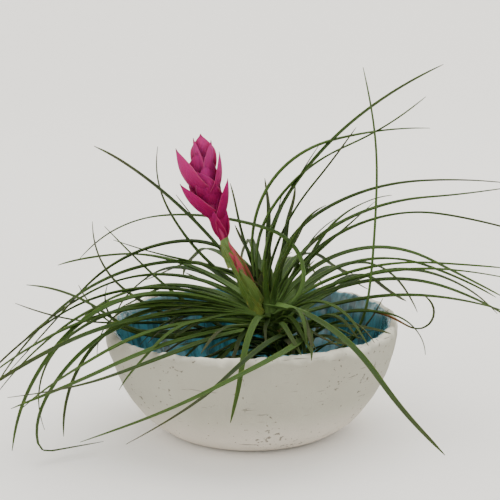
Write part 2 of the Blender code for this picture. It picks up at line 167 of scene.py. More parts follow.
RIGHT_LEAVES = [
    (0.97, 6, 0, 186, 98, 32, 2, -8),
    (0.95, 11, 0, 176, 78, 30, 1, 8),
    (0.94, 4, 0, 172, 70, 30, -7, -20),
    (0.92, 12, 0, 160, 60, 14, -28, -28),
    (0.90, 355, 0, 138, 45, 20, -1, -6),
    (0.88, 4, 0, 152, 38, 13, -4, -16),
    (0.86, 359, 0, 152, 34, 12, -18, -36),
    (0.90, 15, 0, 150, 46, 14, -21, -30),
    (0.82, 352, 0, 132, 22, 13, -2, -16),
    (0.74, 347, 0, 98, 26, 18, -10, -88),
    (0.68, 344, 0, 108, 14, 6, -30, 165),
    (0.35, 350, 0, 198, 14, 84, 90, 106),
    (0.90, 28, -20, 88, 76, 42, 38, 40),
    (0.84, 22, 0, 104, 46, 68, 38, 2),
    (0.40, 352, 0, 68, 20, 28, 52, 68),
]
LEFT_LEAVES = [
    (0.90, 340, 0, 200, 20, 166, 187, 230),
    (0.50, 178, 0, 126, 20, 34, 44, 50),
    (0.60, 184, 0, 138, 12, 20, 38, 95),
    (0.76, 198, 0, 147, 6, -4, 42, 8),
    (0.80, 190, 0, 144, 10, 0, 5, 26),
    (0.72, 197, 0, 124, 8, -2, 20, 70),
    (0.72, 188, 0, 114, 8, -2, 6, 116),
    (0.78, 187, 0, 116, 16, 6, -14, -95),
    (0.80, 224, 0, 118, 14, 4, -22, -50),
    (0.80, 222, 0, 176, 10, 0, -10, -12),
    (0.78, 244, -34, 190, 10, -3, -4, 4),
    (0.86, 210, 0, 178, 14, 3, -14, -28),
    (0.86, 204, 0, 183, 20, 5, -20, -35),
    (0.82, 215, 0, 163, 16, 2, -18, -32),
    (0.85, 205, 0, 198, 32, 5, -45, -85),
    (0.82, 202, 0, 162, 22, 7, -46, -92),
    (0.86, 208, 0, 226, 20, -6, -62, -188),
    (0.86, 200, 0, 176, 24, 5, -34, -110),
    (0.86, 190, 0, 188, 34, 5, -32, -50),
    (0.84, 195, 0, 182, 30, 6, -34, -55),
    (0.88, 170, 0, 165, 40, 4, -30, -44),
    (0.83, 160, 0, 150, 34, 2, -26, -60),
]
FRONT_LEAVES = [
    (0.66, 294, -124, 214, 22, 5, -16, -22),
    (0.66, 286, -92, 179, 26, 8, -24, -20),
    (0.84, 268, -20, 122, 16, -2, -36, -54),
    (0.98, 287, 20, 184, 14, -4, -22, -22),
    (0.70, 236, 10, 84, 24, 10, -6, -30),
    (0.60, 268, -20, 78, 34, 14, 2, -6),
    (0.56, 300, -10, 74, 34, 16, 4, 6),
    (0.72, 322, 10, 72, 28, 12, 6, -10),
]
OLD_LEAF = RIGHT_LEAVES[10]
OLD_AGE = 0.55
# Where the old leaf lies on the rim, as a share of its length
OLD_PLACE = 0.58
LEAF_SWAY = 16

# Leaves made by rule: how many, the azimuth of the first, how far round the last one is, and how far
# each may stray. Then the ranges of the place, the turn, the length and the four rises.
BACK_LEAVES = (14, 28, 126, 5, (0.70, 0.92), (-14, 14), (112, 165), (24, 46), (6, 22), (-34, -8), (-66, -14))
INNER_LEAVES = (9, -100, 230, 8, (0.84, 1.0), (-10, 10), (46, 84), (70, 82), (54, 70), (38, 60), (16, 60))
FILL_LEAVES = (46, 190, 118, 6, (0.34, 0.88), (-30, 30), (48, 82), (8, 48), (-6, 18), (-32, 0), (-50, 0))
# Old leaves low in the bowl: how many, the place of the first and how far up the last one is, then the
# same ranges from the turn on. Their azimuths stray, and the near wall shortens some.
LOW_LEAVES = (12, 0.08, 0.5, (-24, 24), (62, 92), (66, 82), (34, 52), (0, 26), (-30, 40))
LOW_STRAY = 10
LOW_SHORTENING = 0.4

# Flower stalk: its middle line in mm, from its seat on the stem's tip, and its widths
STALK_BASE = Vector((3.0, -5.5, 72.4))
STALK_ROUTE = [(1.6, 1.4, -4.0), (0, 0, 0), (-4.0, 0.2, 9.5), (-10.5, 0.5, 20.5), (-16.0, 0.8, 31.0),
               (-19.2, 1.0, 41.5)]
STALK_WIDTHS = [(0, 6.4), (0.5, 5.8), (1, 5.2)]
STALK_STEPS, STALK_EASING = 40, 12
# Each bract of the stalk: place up the middle line, azimuth, length and width in mm, how far it
# stands off the middle line at the root, half way and the tip in degrees, and its tone.
STALK_BRACTS = [
    (0.00, 262, 32, 11.0, 16, 3, 2, 0.00),
    (0.01, 325, 24, 10.0, 18, 4, 3, 0.05),
    (0.04, 190, 50, 10.0, 15, 1, 1, 0.00),
    (0.08, 345, 28, 9.0, 12, 1, 1, 0.25),
    (0.14, 90, 38, 9.0, 16, 2, 2, 0.20),
    (0.24, 165, 38, 9.0, 14, 1, 2, 0.10),
    (0.26, 318, 34, 9.4, 14, 1, 2, 0.95),
    (0.36, 10, 28, 8.8, 10, 0, 1, 0.90),
    (0.55, 250, 20, 8.4, 12, 0, 1, 0.20),
    (0.62, 50, 19, 8.4, 12, 0, 1, 0.90),
    (0.74, 190, 13, 7.4, 10, 0, 0, 0.10),
    (0.76, 10, 13, 7.4, 10, 0, 0, 0.15),
]

# Flower head: its middle line in mm, from its seat on the stalk, its widths, and its bracts, which
# are given like the stalk's but with no tone
HEAD_BASE = STALK_BASE + Vector(STALK_ROUTE[-1]) + UP * 0.6
HEAD_ROUTE = [(0.5, 0, -3.0), (0, 0, 0), (-5.3, 0.3, 14.0), (-9.4, 0.6, 26.0), (-10.2, 0.8, 35.0)]
HEAD_WIDTHS = [(0, 5.0), (0.33, 8.8), (0.7, 8.8), (1, 5.2)]
HEAD_BRACTS = [
    (0.00, 262, 27, 11, 12, 5, 4),
    (0.02, 84, 27, 11, 12, 6, 6),
    (0.04, 194, 28, 13, 28, 12, 4),
    (0.08, 350, 26, 12, 18, 10, 10),
    (0.22, 340, 29, 13, 54, 30, 18),
    (0.30, 210, 32, 16, 56, 24, 4),
    (0.28, 110, 28, 15, 42, 18, 12),
    (0.32, 266, 29, 17, 36, 8, 0),
    (0.36, 40, 27, 15, 44, 20, 14),
    (0.46, 250, 28, 17, 38, 14, 10),
    (0.50, 304, 27, 16, 40, 14, 6),
    (0.54, 140, 28, 15, 40, 16, 10),
    (0.66, 212, 36, 17, 60, 12, -10),
    (0.60, 352, 30, 13, 66, 26, 4),
    (0.64, 78, 27, 15, 38, 14, 8),
    (0.72, 272, 25, 17, 32, 10, 8),
    (0.84, 198, 28, 14, 36, 4, -6),
    (0.82, 338, 27, 13, 40, 14, 0),
    (0.88, 96, 24, 13, 24, 6, 0),
    (0.94, 262, 25, 15, 14, 2, -4),
]

# Bracts: width as a share of the greatest width, thickness in mm, and channel, along the length
BRACT_OUTLINE = [(0, 0.40), (0.12, 0.72), (0.26, 0.92), (0.44, 1.0), (0.62, 0.94), (0.76, 0.68),
                 (0.88, 0.34), (0.95, 0.12), (1, 0.03)]
SHEATH_OUTLINE = [(0, 0.90), (0.3, 1.0), (0.6, 0.88), (0.8, 0.52), (0.93, 0.2), (1, 0.05)]
BRACT_THICKNESS = [(0, 0.8), (0.3, 0.6), (1, 0.25)]
BRACT_CHANNEL = [(0, 0.75), (0.3, 0.50), (0.7, 0.36), (1, 0.45)]
NO_CHANNEL = [(0, 0.0), (1, 0.0)]
BRACT_RINGS = 30
LEAST_WIDTH = 0.03

# Camera: where the photograph was taken from
CAMERA_PLACE = (-0.0009, -0.8210, 0.2850)
CAMERA_PITCH = radians(12.4)

# Stage: a round floor that sweeps up into a wall, open to the sky, in mm
FLOOR_RADIUS = 1500
SWEEP = 600
WALL_TOP = 1000

# Lamps: the window above and behind, and a fill low in front, in metres
LAMPS = {"window": (0.3, 0.7, 1.9), "fill": (-1.2, -1.3, 0.6)}
LAMP_AIM = UP * 0.08
LAMP_SIZE = 2


def linear(code):
    """An sRGB hex colour as linear red, green and blue, with full alpha."""
    shares = [int(code[i:i + 2], 16) / 255 for i in (1, 3, 5)]
    return (*(s / 12.92 if s <= 0.04045 else ((s + 0.055) / 1.055) ** 2.4 for s in shares), 1.0)


def eased(table, x):
    """The value at x on a smooth curve through a list of (x, value) steps."""
    last = len(table) - 1
    k = min(max(sum(step[0] <= x for step in table) - 1, 0), last - 1)
    (x0, y0), (x1, y1) = table[k], table[k + 1]
    slopes = []
    for i in (k, k + 1):
        low, high = table[max(i - 1, 0)], table[min(i + 1, last)]
        slopes.append((high[1] - low[1]) / (high[0] - low[0]) * (x1 - x0))
    t = (x - x0) / (x1 - x0)
    start, finish = slopes
    level_part = ((2 * t - 3) * t * t + 1) * y0 + (3 - 2 * t) * t * t * y1
    return level_part + (t - 1) * t * ((t - 1) * start + t * finish)


def smooth(low, high, x):
    """0 below low, 1 above high and a soft ramp between."""
    k = min(max((x - low) / (high - low), 0), 1)
    return k * k * (3 - 2 * k)


def level(table, x):
    """The value at x on straight lines through a list of (x, value) steps."""
    for (x0, y0), (x1, y1) in zip(table, table[1:]):
        if x <= x1:
            return y0 + (y1 - y0) * (x - x0) / (x1 - x0)
    return table[-1][1]


def toward(angle):
    """The level direction at an angle."""
    return Vector((cos(angle), sin(angle), 0))


def heading(points, i):
    """The direction of a line of points at one of them."""
    return (points[min(i + 1, len(points) - 1)] - points[max(i - 1, 0)]).normalized()


def spaced(points, count):
    """A line of points spread evenly along the same route."""
    lengths = [0]
    for low, high in zip(points, points[1:]):
        lengths.append(lengths[-1] + (high - low).length)
    out = []
    k = 0
    for i in range(count + 1):
        goal = lengths[-1] * i / count
        while k < len(points) - 2 and lengths[k + 1] < goal:
            k += 1
        part = (goal - lengths[k]) / max(lengths[k + 1] - lengths[k], 1e-9)
        out.append(points[k].lerp(points[k + 1], min(part, 1)))
    return out


def relaxed(points, rounds):
    """The same line with its kinks eased out and its ends kept."""
    for _ in range(rounds):
        middle = [(a + 2 * b + c) / 4 for a, b, c in zip(points, points[1:], points[2:])]
        points = [points[0], *middle, points[-1]]
    return points


def add_node(tree, kind, *inputs, **settings):
    """Adds a node with its settings, links or sets its inputs, and gives its outputs.

    Inputs come in order or in a dictionary, and a kind that names no family is a shader node's.
    """
    node = tree.nodes.new(kind if "Node" in kind else "ShaderNode" + kind)
    for name, value in settings.items():
        setattr(node, name, value)
    named = inputs[0] if inputs and isinstance(inputs[0], dict) else dict(enumerate(inputs))
    for key, value in named.items():
        if isinstance(value, NodeSocket):
            tree.links.new(value, node.inputs[key])
        else:
            node.inputs[key].default_value = value
    return node.outputs


def new_material(name, surface):
    """A material with its constant values set, and the function that adds nodes to it."""
    material = bpy.data.materials.new(name)
    material.use_nodes = True
    for socket, value in surface.items():
        material.node_tree.nodes["Principled BSDF"].inputs[socket].default_value = value
    return material, partial(add_node, material.node_tree)


def painted(material, base, layers, relief=None, strength=0, depth=0):
    """The material with layers of colour over a base colour, and a relief of some depth in metres.

    A layer is the value that it follows, where on that value it starts and where it is full, how
    much it covers there, its colour, and "soft" where it starts and ends gently.
    """
    tree = material.node_tree
    colour = linear(base)
    for value, start, full, most, code, *soft in layers:
        cover = add_node(tree, "MapRange", {0: value, 1: start, 2: full, 4: most},
                         interpolation_type="SMOOTHSTEP" if soft else "LINEAR")[0]
        colour = add_node(tree, "Mix", {0: cover, 6: colour, 7: linear(code)}, data_type="RGBA")[2]
    shader = tree.nodes["Principled BSDF"].inputs
    tree.links.new(colour, shader["Base Color"])
    if relief is not None:
        bump = add_node(tree, "Bump", {"Strength": strength, "Distance": depth, "Height": relief})[0]
        tree.links.new(bump, shader["Normal"])
    return material


def new_object(name, data):
    """An object in the scene that shows a mesh, a lamp or a camera."""
    obj = bpy.data.objects.new(name, data)
    bpy.context.scene.collection.objects.link(obj)
    return obj


def new_piece(name, mesh, material, slot, *nodes):
    """A finished mesh as a piece of the plant that stands for CAD nodes."""
    obj = new_object(name, mesh)
    mesh.materials.clear()
    mesh.materials.append(material)
    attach(obj, BODY)
    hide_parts(*nodes)
    return obj


def baked(source, tree, values, name):
    """The mesh that a geometry tree makes of a source mesh, with no modifier left behind."""
    obj = new_object(name, source)
    modifier = obj.modifiers.new("shape", "NODES")
    modifier.node_group = tree
    for item in tree.interface.items_tree:
        if item.name in values:
            modifier[item.identifier] = values[item.name]
    depsgraph = bpy.context.evaluated_depsgraph_get()
    mesh = bpy.data.meshes.new_from_object(obj.evaluated_get(depsgraph), depsgraph=depsgraph)
    mesh.name = name
    bpy.data.objects.remove(obj)
    bpy.data.meshes.remove(source)
    bm = bmesh.new()
    bm.from_mesh(mesh)
    bmesh.ops.recalc_face_normals(bm, faces=bm.faces)
    bm.to_mesh(mesh)
    bm.free()
    return mesh


def new_tree(name, *sockets):
    """A geometry tree with its inputs, given as names and kinds, and the function that adds to it."""
    tree = bpy.data.node_groups.new(name, "GeometryNodeTree")
    for label, kind in sockets:
        tree.interface.new_socket(label, in_out="INPUT", socket_type="NodeSocket" + kind)
    tree.interface.new_socket("Mesh", in_out="OUTPUT", socket_type="NodeSocketGeometry")
    add = partial(add_node, tree)
    return tree, add, add("NodeGroupInput")


def close_tree(add, shape, finish):
    """The end of a geometry tree: real geometry, shaded smooth, in its material."""
    real = add("GeometryNodeRealizeInstances", shape)[0]
    even = add("GeometryNodeSetShadeSmooth", real)[0]
    done = add("GeometryNodeSetMaterial", {0: even, "Material": finish})[0]
    add("NodeGroupOutput", done)


# The bowl and its glaze

def waves(table, angle):
    """The sum of some waves round the bowl at an angle."""
    return sum(size * sin(count * angle + start) for size, count, start in table)


def rim_wave(angle):
    """How far the hand-formed rim stands above its mean height at an angle, in mm."""
    return waves(RIM_WAVES, angle) - RIM_DIP * ((1 + cos(angle - RIM_DIP_ANGLE)) / 2) ** 3


def rough(layers, point):
    """The height of some layers of noise at a point, in mm."""
    return sum(height * noise.noise(point / size + Vector(shift)) for height, size, shift in layers)


def inside_height(radius, angle):
    """The height of the bowl's upper surface at a radius and angle, in mm."""
    steps = BOWL_INSIDE + BOWL_LIP + BOWL_OUTSIDE[:1]
    height = level(steps, radius / (1 + waves(RADIUS_WAVES, angle)))
    return height + rim_wave(angle) * (height / RIM_HEIGHT) ** 3


def outside_radius(height, angle):
    """The radius of the bowl's outer wall at a height and angle, in mm."""
    steps = [(z, r) for r, z in reversed(BOWL_OUTSIDE[:-1])]
    return level(steps, max(height, 0)) * (1 + waves(RADIUS_WAVES, angle))


def bowl_profile():
    """The profile with its corners rounded, in mm: the inside up to the top, and the outside from it."""
    points = [Vector(step) for step in BOWL_INSIDE + BOWL_LIP + BOWL_OUTSIDE]
    for _ in range(CORNER_CUTS):
        cut = [points[0]]
        for low, high in zip(points, points[1:]):
            cut += [low.lerp(high, 0.25), low.lerp(high, 0.75)]
        points = cut + [points[-1]]
    top = max(range(len(points)), key=lambda i: points[i].y)
    return points[:top + 1], points[top:]


def profile_normals(points):
    """The outward direction at each point of a profile that runs from the inside to the outside."""
    ways = [heading(points, i) for i in range(len(points))]
    return [Vector((-way.y, way.x)) for way in ways]


def clay_surface(place, outward, angle, lift=0):
    """A point on the finished clay, in mm: out of round, pinched by fingers and ragged along the lip."""
    around = toward(angle)
    radius, height = place
    share = min(max(height / RIM_HEIGHT, 0), 1)
    radius *= 1 + waves(RADIUS_WAVES, angle) * smooth(*WAVE_FADE, share)
    turned = around * radius + UP * (height + rim_wave(angle) * share ** 3)
    above_foot = smooth(*FOOT_FADE, height)
    near_lip = smooth(*LIP_FADE, height)
    push = rough(FINGER_MARKS, turned) * above_foot + rough(LIP_LUMPS, turned) * near_lip + lift
    nick = max(rough(LIP_NICKS, turned) - SHALLOW_NICK, 0)
    ragged = UP * near_lip * (rough(LIP_WANDER, turned) - nick)
    return turned + (around * outward.x + UP * outward.y) * push + ragged


def turned_mesh(name, rows):
    """A closed skin from rows of points around the axis, closed at both poles."""
    bm = bmesh.new()
    rings = [[bm.verts.new(p * MM) for p in row] for row in rows]
    for low, high in zip(rings, rings[1:]):
        count = max(len(low), len(high))
        for j in range(count):
            k = (j + 1) % count
            corners = [low[j % len(low)], low[k % len(low)], high[k % len(high)], high[j % len(high)]]
            bm.faces.new(list(dict.fromkeys(corners)))
    bmesh.ops.recalc_face_normals(bm, faces=bm.faces)
    mesh = bpy.data.meshes.new(name)
    bm.to_mesh(mesh)
    bm.free()
    mesh.shade_smooth()
    return mesh


def bowl_mesh():
    """The clay of the bowl as one closed skin."""
    inside, outside = bowl_profile()
    points = spaced(inside, INSIDE_STEPS)[:-1] + spaced(outside, OUTSIDE_STEPS)
    rows = []
    for place, outward in zip(points, profile_normals(points)):
        if place.x < POLE_RADIUS:
            rows.append([UP * place.y])
        else:
            rows.append([clay_surface(place, outward, angle) for angle in AROUND])
    return turned_mesh("bowl_body", rows)


def glaze_mesh():
    """The coat of glaze: an upper skin over the clay and an under skin sunk in it, closed at the edge."""
    inside = bowl_profile()[0]
    length = sum((b - a).length for a, b in zip(inside, inside[1:]))
    fine = spaced(inside, FINE_STEPS)
    normals = profile_normals(fine)
    margins = [GLAZE_MARGIN + rough(GLAZE_WANDER, toward(angle) * WANDER_RADIUS) for angle in AROUND]
    skins = []
    for middle_lift in (GLAZE_THICKNESS, -GLAZE_BITE):
        rows = [[UP * (BOWL_INSIDE[0][1] + middle_lift)]]
        for i in range(1, GLAZE_STEPS + 1):
            out = 1 - (1 - i / GLAZE_STEPS) ** GLAZE_CROWDING
            row = []
            for angle, margin in zip(AROUND, margins):
                end = length - max(margin, LEAST_MARGIN)
                k = min(round(end * out / length * FINE_STEPS), FINE_STEPS)
                taper = min(end * (1 - out) / GLAZE_EDGE, 1)
                skin = sqrt(max(1 - (1 - taper) ** 2, 0)) if middle_lift > 0 else 1
                row.append(clay_surface(fine[k], normals[k], angle, middle_lift * skin))
            rows.append(row)
        skins.append(rows)
    upper, under = skins
    return turned_mesh("glaze_coat", upper + under[::-1])


def clay_material(settings):
    """Bisque stoneware, wiped smooth by hand: dry and matt, with a warm grey-white body."""
    material, add = new_material("bisque stoneware", {"Roughness": 0.88, "Specular IOR Level": 0.3})
    place = add("TexCoord")["Object"]
    height = add("SeparateXYZ", place)["Z"]
    # Clouds about 4 cm across, a fine grain, a ragged line along the lip, and specks in clusters
    cloud, grain, ragged, speck, cluster = [
        add("TexNoise", {"Vector": place, "Scale": scale, "Detail": detail})[0]
        for scale, detail in ((26, 4), (900, 3), (110, 4), (420, 3), (48, 2))]
    ragged = add("Math", ragged, 0.008, height, operation="MULTIPLY_ADD")[0]
    # Pits where grog burned out: ragged, 0.5 to 1.5 mm across, and only in some clusters
    chance = add("Math", cluster, 0.45, speck, operation="MULTIPLY_ADD")[0]
    pit = add("MapRange", chance, 0.905, 0.95, interpolation_type="SMOOTHSTEP")[0]
    # Dragged scratches: short, level and 0.4 mm wide
    drag = add("Mapping", {"Vector": place, "Scale": (60, 60, 900)})[0]
    thread = add("TexNoise", {"Vector": drag, "Scale": 1})[0]
    scratch = add("MapRange", thread, 0.68, 0.74)[0]
    mark = add("Math", pit, scratch, operation="MAXIMUM")[0]
    relief = add("Math", grain, mark, operation="SUBTRACT")[0]
    # The clay is paler towards the foot: a warmer tint of its own and painted bounce light from the floor
    return painted(material, settings.clay_shade, [
        (cloud, 0, 1, 1, settings.clay_light),
        (height, 0.034, 0, 1, "#DAD2C6", "soft"),
        # Paler along a ragged band at the lip: partly the lip's own pale clay, partly a painted highlight on
        # the lit rim
        (ragged, 0.0632, 0.0688, 1, "#D3D1C2", "soft"),
        (mark, 0, 1, 0.7, "#51493E"),
    ], relief, 0.5, 0.0004)


def glaze_material(settings):
    """Copper-turquoise stoneware glaze: glassy, and it ran down the wall in streaks as it melted."""
    material, add = new_material("turquoise stoneware glaze", {
        "Roughness": 0.16, "IOR": 1.52, "Coat Weight": 0.25, "Coat Roughness": 0.05})
    place = add("TexCoord")["Object"]
    height = add("SeparateXYZ", place)["Z"]
    # Runs a few millimetres wide: the pattern follows the angle closely and the height only slowly
    flat = add("VectorMath", place, (1, 1, 0), operation="MULTIPLY")[0]
    around = add("VectorMath", flat, operation="NORMALIZE")[0]
    drawn = add("VectorMath", place, (0, 0, 3.5), around, operation="MULTIPLY_ADD")[0]
    runs = add("TexNoise", {"Vector": drawn, "Scale": 9, "Detail": 5, "Roughness": 0.62})[0]
    fine = add("TexNoise", {"Vector": drawn, "Scale": 34, "Detail": 3})[0]
    # The melt is dark where it pooled, milky in its thin streaks and paler near the lip
    return painted(material, settings.glaze_deep, [
        (runs, 0.42, 0.58, 1, settings.glaze_light),
        (fine, 0.52, 0.72, 0.5, "#3C96B2"),
        (height, 0.045, 0.064, 0.3, "#6F989C", "soft"),
    ], runs, 0.25, 0.0004)


def grit_material():
    """Iron grit in the clay: dull dark grains, some of them dusted with clay."""
    material, add = new_material("iron grit", {"Roughness": 0.8})
    place = add("TexCoord")["Object"]
    speck = add("TexNoise", {"Vector": place, "Scale": 300})[0]
    return painted(material, "#3F372F", [(speck, 0.0, 1.0, 1.0, "#A39A8C")])


def grit_tree():
    """Grains scattered over a wall, half sunk in it."""
    tree, add, given = new_tree("Grit in a Wall", ("Wall", "Geometry"), ("Grains per Square Metre", "Float"),
                                ("Largest Grain", "Float"), ("Finish", "Material"))
    spread = add("GeometryNodeDistributePointsOnFaces", {0: given["Wall"], "Density": given[1], "Seed": 7})
    grain = add("GeometryNodeMeshIcoSphere", {"Subdivisions": 2})[0]
    share = add("FunctionNodeRandomValue", {2: 0.35, 3: 1.0, "Seed": 8})[1]
    size = add("Math", share, given["Largest Grain"], operation="MULTIPLY")[0]
    squat = add("VectorMath", (1.0, 0.75, 0.35), size, operation="MULTIPLY")[0]
    placed = add("GeometryNodeInstanceOnPoints", {
        "Points": spread["Points"], "Instance": grain, "Rotation": spread["Rotation"], "Scale": squat})[0]
    close_tree(add, placed, given["Finish"])
    return tree


# Blades: leaves, bracts and sheaths

def blade_tree():
    """Closed blades along midribs, each with a lens-shaped section that is channelled on top."""
    tree, add, given = new_tree("Blade along a Midrib", ("Midribs", "Geometry"), ("Sides", "Int"),
                                ("Channel Roundness", "Float"), ("Finish", "Material"))
    here = add("GeometryNodeInputPosition")[0]
    read = {}
    for kind, names in (("FLOAT", ("half_width", "half_thickness", "channel_depth")),
                        ("FLOAT_VECTOR", ("side", "upper", "middle", "section"))):
        for name in names:
            read[name] = add("GeometryNodeInputNamedAttribute", name, data_type=kind)[0]
    line = add("GeometryNodeMeshToCurve", given["Midribs"])[0]
    ring = add("GeometryNodeCurvePrimitiveCircle", {"Resolution": given["Sides"]})[0]
    line, ring = [add("GeometryNodeStoreNamedAttribute", {0: curve, "Name": name, "Value": here},
                      data_type="FLOAT_VECTOR")[0] for curve, name in ((line, "middle"), (ring, "section"))]
    swept = add("GeometryNodeCurveToMesh", {"Curve": line, "Profile Curve": ring, "Fill Caps": True})[0]
    section = add("SeparateXYZ", read["section"])
    read.update(x=section["X"], y=section["Y"], roundness=given["Channel Roundness"])
    for name, operation, *terms in (
            ("sideways", "MULTIPLY", "x", "half_width"),
            ("away", "ABSOLUTE", "x"),
            ("curl", "POWER", "away", "roundness"),
            ("flesh", "MULTIPLY", "y", "half_thickness"),
            ("rise", "MULTIPLY_ADD", "curl", "channel_depth", "flesh")):
        read[name] = add("Math", *(read[term] for term in terms), operation=operation)[0]
    edge = add("VectorMath", read["side"], read["sideways"], read["middle"], operation="MULTIPLY_ADD")[0]
    goal = add("VectorMath", read["upper"], read["rise"], edge, operation="MULTIPLY_ADD")[0]
    shaped = add("GeometryNodeSetPosition", {0: swept, "Position": goal})[0]
    named = add("GeometryNodeStoreNamedAttribute", {0: shaped, "Name": "across", "Value": read["x"]})[0]
    close_tree(add, named, given["Finish"])
    return tree


def midrib(points, sides, tables, width, tone, age=0.0):
    """What the blade tree reads along one blade, as a row of values for each of its points.

    The tables give the blade's width, in units of the given one, its thickness and its channel.
    """
    rows = []
    last = len(points) - 1
    for i, point in enumerate(points):
        along = i / last
        ahead = heading(points, i)
        side = (sides[i] - ahead * sides[i].dot(ahead)).normalized()
        broad, thick, channel = (eased(table, along) for table in tables)
        # An old leaf reddens first where it lies on the rim
        old = age * (1 - smooth(0.02, 0.16, abs(along - OLD_PLACE)))
        half = max(broad, LEAST_WIDTH) * width * MM / 2
        rows.append({
            "point": point, "side": side, "upper": ahead.cross(side), "along": along, "half_width": half,
            "half_thickness": thick * MM / 2, "channel_depth": channel * half, "tone": tone, "age": old})
    return rows


def stem_midrib(route, widths, tone):
    """A round stem, as a blade that is as thick as it is wide."""
    return midrib(route, [Vector((0, 1, 0))] * len(route), (widths, widths, NO_CHANNEL), 1.0, tone)


def blade_piece(name, lines, material, sides, roundness, slot, node):
    """A group of blades as one piece, made along their midribs."""
    rows, edges = [], []
    for line in lines:
        edges += [(len(rows) + i, len(rows) + i + 1) for i in range(len(line) - 1)]
        rows += line
    source = bpy.data.meshes.new(name + " midribs")
    source.from_pydata([row["point"] * MM for row in rows], edges, [])
    for key in ("half_width", "half_thickness", "channel_depth", "along", "tone", "age"):
        layer = source.attributes.new(key, "FLOAT", "POINT")
        layer.data.foreach_set("value", [row[key] for row in rows])
    for key in ("side", "upper"):
        layer = source.attributes.new(key, "FLOAT_VECTOR", "POINT")
        layer.data.foreach_set("vector", [value for row in rows for value in row[key]])
    values = {"Sides": sides, "Channel Roundness": roundness, "Finish": material}
    return new_piece(name, baked(source, blade_tree(), values, name), material, slot, node)


def leaf_route(row, in_heart):
    """The midrib of a leaf and the vector across it at each point, in mm."""
    place, azimuth, turn, length, *rises = row
    bends = list(enumerate(rises))
    around = radians(azimuth)
    root = Vector((0, HEART_SETBACK, 0)) if in_heart else ROOT_SPREAD * toward(around)
    points = [STEM_FOOT.lerp(STEM_TIP, place) + root]
    sides = [toward(around + pi / 2)]
    for i in range(ROUTE_STEPS):
        share = (i + 0.5) / ROUTE_STEPS
        rise = radians(level(bends, share * 3))
        around = radians(azimuth + turn * share)
        ahead = toward(around) * cos(rise) + UP * sin(rise)
        points.append(points[-1] + ahead * length / ROUTE_STEPS)
        sides.append(toward(around + pi / 2))
    return points, sides


def clear_of_bowl(points):
    """The midrib lifted to lie over the rim, and kept off the outer wall and the surface."""
    spots = [(p, atan2(p.y, p.x), hypot(p.x, p.y)) for p in points]
    lift = 0
    for p, angle, reach in spots:
        if reach < BOWL_OUTSIDE[0][0]:
            near = max(inside_height(reach + probe, angle) for probe in RIM_PROBES)
            share = max(smooth(LIFT_START, LIFT_FULL, reach), LEAST_LIFT)
            lift = max(lift, (near + RIM_CLEARANCE - p.z) / share)
    raised = []
    for p, angle, reach in spots:
        p = p + UP * lift * smooth(LIFT_START, LIFT_FULL, reach)
        wall = outside_radius(p.z, angle) + WALL_CLEARANCE
        if BOWL_INSIDE[-1][0] < reach < wall and p.z < RIM_HEIGHT - RIM_ROUNDING + rim_wave(angle):
            p = Vector((p.x * wall / reach, p.y * wall / reach, p.z))
        p.z = max(p.z, LOWEST_TIP)
        raised.append(p)
    return raised


def swayed(row, draw):
    """A leaf's row with a slight turn added, which leaves its mean direction as it was."""
    turn = draw.uniform(-LEAF_SWAY, LEAF_SWAY)
    place, azimuth, sweep, *rest = row
    return (place, azimuth - turn / 2, sweep + turn, *rest)


def fan(draw, count, start, sweep, stray, *ranges):
    """Rows of leaves that are spread over an arc, with their other values drawn from ranges."""
    rows = []
    for i in range(count):
        azimuth = start + sweep * i / (count - 1) + draw.uniform(-stray, stray)
        place, *rest = [draw.uniform(*span) for span in ranges]
        rows.append((place, azimuth, *rest))
    return rows


def low_leaves(draw, count, first, reach, *ranges):
    """Rows of short leaves inside the bowl, each a golden angle round from the last one."""
    rows = []
    for i in range(count):
        azimuth = i * GOLDEN_ANGLE + draw.uniform(-LOW_STRAY, LOW_STRAY)
        turn, length, *rises = [draw.uniform(*span) for span in ranges]
        length *= 1 - LOW_SHORTENING * max(cos(radians(azimuth)), 0)
        rows.append((first + reach * i / (count - 1), azimuth, turn, length, *rises))
    return rows


def leaf_midrib(row, in_heart, draw, age):
    """One leaf: its route with a slight living waver and twist, and its size along it."""
    points, sides = leaf_route(row, in_heart)
    length = row[3]
    phase, beat, sweep = draw.uniform(0, tau), draw.uniform(*WAVER_BEATS), draw.uniform(*WAVER_WIDTHS)
    for i, side in enumerate(sides):
        share = i / ROUTE_STEPS
        wave = sweep * length / WAVER_LENGTH * sin(phase + beat * tau * share)
        points[i] += side * wave * smooth(0.1, 0.9, share)
    points = spaced(relaxed(clear_of_bowl(points), LEAF_EASING), LEAF_RINGS)
    twist = draw.uniform(-TWIST, TWIST)
    turned = []
    for i in range(LEAF_RINGS + 1):
        share = i / LEAF_RINGS
        side = sides[round(share * ROUTE_STEPS)]
        turn = twist * share * share
        turned.append(side * cos(turn) + heading(points, i).cross(side) * sin(turn))
    size = 1 - NARROWING * (1 - smooth(SHORT_LEAF, LONG_LEAF, length))
    size *= draw.uniform(*SIZE_RANGE)
    return midrib(points, turned, LEAF_TABLES, size, draw.random(), age)


def bract(route, row, outline):
    """A pointed bract that stands off its stalk's middle line by the angles in its row."""
    share, azimuth, length, width, *leans, tone = row
    last = len(route) - 1
    k = min(int(share * last), last - 1)
    axis = (route[k + 1] - route[k]).normalized()
    side = axis.cross(toward(radians(azimuth))).normalized()
    outward = side.cross(axis)
    bend = list(zip((0.0, 0.5, 1.0), leans))
    points = [route[k].lerp(route[k + 1], share * last - k)]
    for i in range(BRACT_RINGS):
        tilt = radians(eased(bend, (i + 0.5) / BRACT_RINGS))
        points.append(points[-1] + (axis * cos(tilt) + outward * sin(tilt)) * length / BRACT_RINGS)
    return midrib(points, [side] * len(points), (outline, BRACT_THICKNESS, BRACT_CHANNEL), width, tone)


